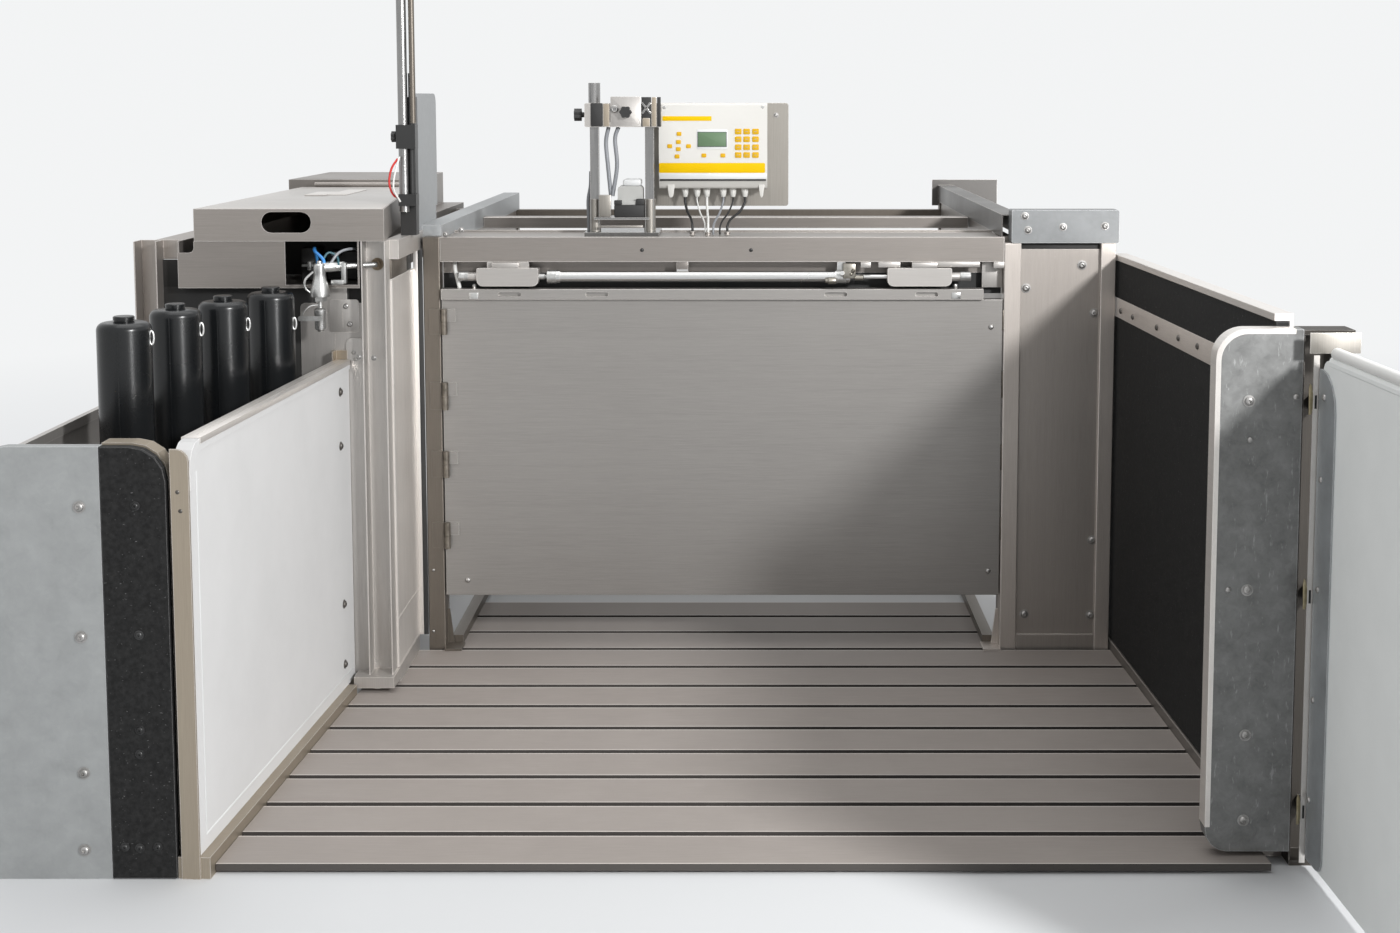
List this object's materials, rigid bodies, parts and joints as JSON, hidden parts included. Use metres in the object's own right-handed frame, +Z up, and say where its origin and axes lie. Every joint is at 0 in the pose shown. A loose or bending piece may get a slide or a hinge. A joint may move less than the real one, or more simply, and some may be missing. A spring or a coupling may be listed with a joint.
{
  "type": "pig sorting station",
  "caption": "Livestock sorting station: slatted standing floor between splayed walls, swinging gate with air-cylinder lock, valve cabinet, controller, mast and side door.",
  "frame": {"origin": "on the ground under the middle of the gate's front face, on the underside of the floor's centre bearer", "axes": "+Z up, +Y from the standing floor through the gate into the crate, +X to the right seen from the front"},
  "size_m": [2.662, 3.9754, 2.05],
  "materials": {
    "brushed_stainless": "brushed",
    "galvanised_steel": "galvanised",
    "bright_metal": "satin",
    "floor_boards": "ribbed matt",
    "white_panel": "matt",
    "black_board": "speckled matt",
    "canister_black": "satin gloss",
    "knob_black": "moulded",
    "mast_black": "satin",
    "controller_white": "satin",
    "filter_grey": "matt",
    "cable_black": "satin",
    "cable_white": "satin"
  },
  "bodies": {
    "station_frame": {"slatted_floor": "floor_boards", "left_wall_frame": "brushed_stainless", "left_wall_panel": "white_panel", "bay_front_plate": "galvanised_steel", "bay_front_board": "black_board", "bay_front_channel": "brushed_stainless", "bay_outer_wall": "brushed_stainless", "canister_tray": "brushed_stainless", "right_wall_rail": "brushed_stainless", "right_wall_board": "black_board", "right_wall_cap": "brushed_stainless", "hinge_post": "brushed_stainless", "right_end_plate": "galvanised_steel", "corner_post_left": "brushed_stainless", "outer_post_left": "brushed_stainless", "gate_post_left": "brushed_stainless", "gate_post_right": "brushed_stainless", "corner_post_right": "brushed_stainless", "front_beam": "brushed_stainless", "rear_beam": "brushed_stainless", "rear_frame": "brushed_stainless", "side_rail_left": "galvanised_steel", "side_rail_right": "galvanised_steel", "right_header_box": "galvanised_steel", "left_side_panel": "brushed_stainless", "right_infill_panel": "brushed_stainless", "crate_wall_left": "brushed_stainless", "crate_wall_right": "brushed_stainless", "weigh_platform": "brushed_stainless", "cabinet_body": "brushed_stainless", "valve_bracket": "brushed_stainless", "air_regulator": "bright_metal", "cylinder_barrel": "bright_metal", "fixed_housing": "brushed_stainless", "controller_box": "controller_white", "controller_plate": "brushed_stainless", "stand_frame": "brushed_stainless", "stand_clamp": "brushed_stainless", "filter_box": "filter_grey", "mast_plate": "galvanised_steel", "mast_channel": "mast_black", "cable_black_left": "cable_black", "cable_white": "cable_white", "cable_black_right": "cable_black"},
    "front_gate": {"gate_panel": "brushed_stainless", "gate_guide_rail": "brushed_stainless"},
    "lock_carriage": {"piston_rod": "bright_metal", "sliding_housing": "brushed_stainless"},
    "side_door": {"door_panel": "white_panel", "door_edge_plate": "galvanised_steel"},
    "lid": {"cabinet_lid": "brushed_stainless"},
    "first_canister": {"canister_1": "canister_black"},
    "second_canister": {"canister_2": "canister_black"},
    "third_canister": {"canister_3": "canister_black"},
    "fourth_canister": {"canister_4": "canister_black"},
    "lever": {"valve_lever": "bright_metal"},
    "side_knob": {"clamp_knob_side": "knob_black"},
    "front_knob": {"clamp_knob_front": "knob_black"},
    "mast": {"mast_tube": "brushed_stainless"},
    "mast_clamp_knob": {"mast_knob": "knob_black"}
  },
  "joints": [
    {"name": "gate_hinge", "type": "hinge", "parent": "station_frame", "child": "front_gate", "pos_m": [-0.735, -0.008, 0.168], "axis": [0, 0, 1], "range_deg": [-88, 0]},
    {"name": "lock_slide", "type": "slide", "parent": "station_frame", "child": "lock_carriage", "axis": [1, 0, 0], "range_m": [-0.06, 0]},
    {"name": "side_door_hinge", "type": "hinge", "parent": "station_frame", "child": "side_door", "pos_m": [1.166, -1.352, 0.03], "axis": [0, 0, 1], "range_deg": [-85, 60]},
    {"name": "lid_hinge", "type": "hinge", "parent": "station_frame", "child": "lid", "pos_m": [-1.119, 0.74, 1.235], "axis": [1, 0, 0], "range_deg": [-75, 0]},
    {"name": "first_canister_lift", "type": "slide", "parent": "station_frame", "child": "first_canister", "axis": [0, 0, 1], "range_m": [0, 0.45]},
    {"name": "second_canister_lift", "type": "slide", "parent": "station_frame", "child": "second_canister", "axis": [0, 0, 1], "range_m": [0, 0.45]},
    {"name": "third_canister_lift", "type": "slide", "parent": "station_frame", "child": "third_canister", "axis": [0, 0, 1], "range_m": [0, 0.45]},
    {"name": "fourth_canister_lift", "type": "slide", "parent": "station_frame", "child": "fourth_canister", "axis": [0, 0, 1], "range_m": [0, 0.45]},
    {"name": "lever_turn", "type": "hinge", "parent": "station_frame", "child": "lever", "pos_m": [-0.973, -0.3965, 0.965], "axis": [0, -1, 0], "range_deg": [0, 90]},
    {"name": "side_knob_turn", "type": "hinge", "parent": "station_frame", "child": "side_knob", "pos_m": [-0.3693, 0.135, 1.4525], "axis": [1, 0, 0], "continuous": true},
    {"name": "front_knob_turn", "type": "hinge", "parent": "station_frame", "child": "front_knob", "pos_m": [-0.258, 0.1117, 1.46], "axis": [0, 1, 0], "continuous": true},
    {"name": "mast_slide", "type": "slide", "parent": "station_frame", "child": "mast", "axis": [0, 0, 1], "range_m": [-0.05, 0.25]},
    {"name": "mast_knob_turn", "type": "hinge", "parent": "station_frame", "child": "mast_clamp_knob", "pos_m": [-0.8211, -0.155, 1.4], "axis": [1, 0, 0], "continuous": true}
  ]
}
